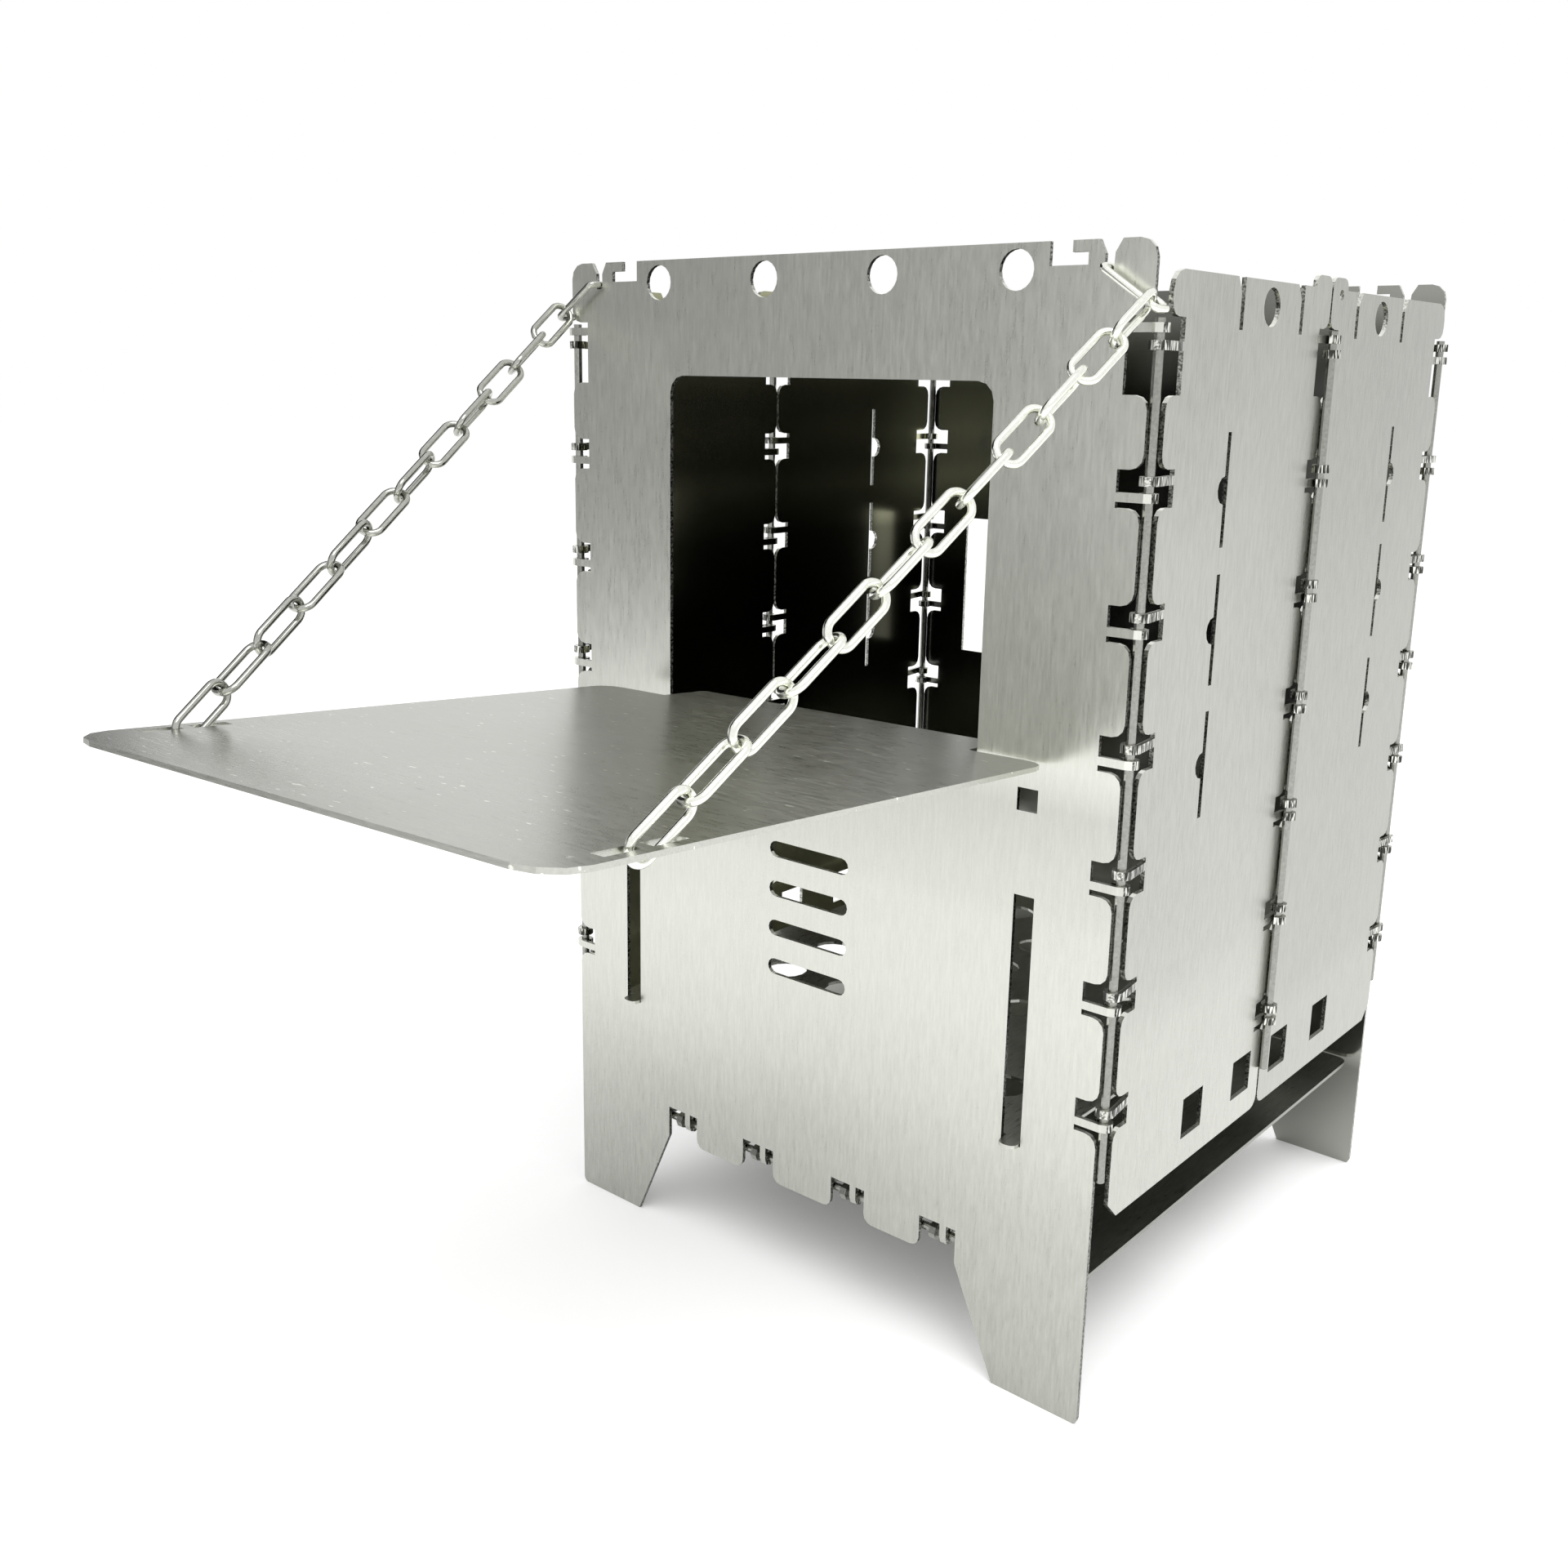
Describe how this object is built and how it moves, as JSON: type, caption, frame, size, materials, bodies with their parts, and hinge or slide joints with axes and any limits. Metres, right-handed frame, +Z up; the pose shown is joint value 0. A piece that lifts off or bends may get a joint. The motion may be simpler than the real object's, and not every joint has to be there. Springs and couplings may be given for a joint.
{
  "type": "folding camping stove",
  "caption": "Square folding wood stove of hinged sheet steel, with legs, a grate, a floor plate and a log feed shelf hung on two chains",
  "frame": {"origin": "bottom centre of the bounding box, on the ground under the feet", "axes": "+X to the right seen from the front, -Y towards the feed shelf, +Z up"},
  "size_m": [0.1694, 0.3076, 0.251],
  "materials": {
    "sheet": "stainless sheet with a fine vertical brushing",
    "rod": "drawn stainless rod",
    "wire": "polished stainless wire"
  },
  "bodies": {
    "front": {"front_panel": "sheet", "front_right_rod": "rod", "front_left_rod": "rod", "floor_rod": "rod", "left_hook_link": "wire", "right_hook_link": "wire"},
    "right_front": {"right_front_wall": "sheet", "right_middle_rod": "rod"},
    "right_rear": {"right_rear_wall": "sheet"},
    "left_front": {"left_front_wall": "sheet", "left_middle_rod": "rod"},
    "left_rear": {"left_rear_wall": "sheet"},
    "back": {"back_panel": "sheet", "rear_right_rod": "rod", "rear_left_rod": "rod"},
    "floor": {"floor_plate": "sheet"},
    "grate": {"fire_grate": "sheet"},
    "shelf": {"shelf_plate": "sheet", "left_chain": "wire", "right_chain": "wire"}
  },
  "joints": [
    {"name": "right_front_fold", "type": "hinge", "parent": "front", "child": "right_front", "pos_m": [0.0805, -0.00413, 0], "axis": [0, 0, 1], "range_deg": [0, 70]},
    {"name": "right_rear_fold", "type": "hinge", "parent": "right_front", "child": "right_rear", "pos_m": [0.08265, 0.07382, 0], "axis": [0, 0, 1], "range_deg": [-140, 0]},
    {"name": "back_fold", "type": "hinge", "parent": "right_rear", "child": "back", "pos_m": [0.0805, 0.15177, 0], "axis": [0, 0, 1], "range_deg": [0, 70]},
    {"name": "left_front_fold", "type": "hinge", "parent": "front", "child": "left_front", "pos_m": [-0.0805, -0.00413, 0], "axis": [0, 0, 1], "range_deg": [-70, 0]},
    {"name": "left_rear_fold", "type": "hinge", "parent": "left_front", "child": "left_rear", "pos_m": [-0.08265, 0.07382, 0], "axis": [0, 0, 1], "range_deg": [0, 140]},
    {"name": "floor_swing", "type": "hinge", "parent": "front", "child": "floor", "pos_m": [0, -0.00413, 0.03095], "axis": [1, 0, 0], "range_deg": [-70, 0]},
    {"name": "grate_swing", "type": "hinge", "parent": "front", "child": "grate", "pos_m": [0, -0.00463, 0.06132], "axis": [1, 0, 0], "range_deg": [-70, 0]},
    {"name": "shelf_tip", "type": "hinge", "parent": "front", "child": "shelf", "pos_m": [0, -0.00518, 0.1467], "axis": [-1, 0, 0], "range_deg": [0, 40], "deforming": ["left_chain", "right_chain"]}
  ],
  "couplings": [
    {"joint": "right_rear_fold", "follows": "right_front_fold", "ratio": -2},
    {"joint": "back_fold", "follows": "right_front_fold", "ratio": 1},
    {"joint": "left_front_fold", "follows": "right_front_fold", "ratio": -1},
    {"joint": "left_rear_fold", "follows": "right_front_fold", "ratio": 2},
    {"joint": "floor_swing", "follows": "right_front_fold", "ratio": -1},
    {"joint": "grate_swing", "follows": "right_front_fold", "ratio": -1}
  ]
}
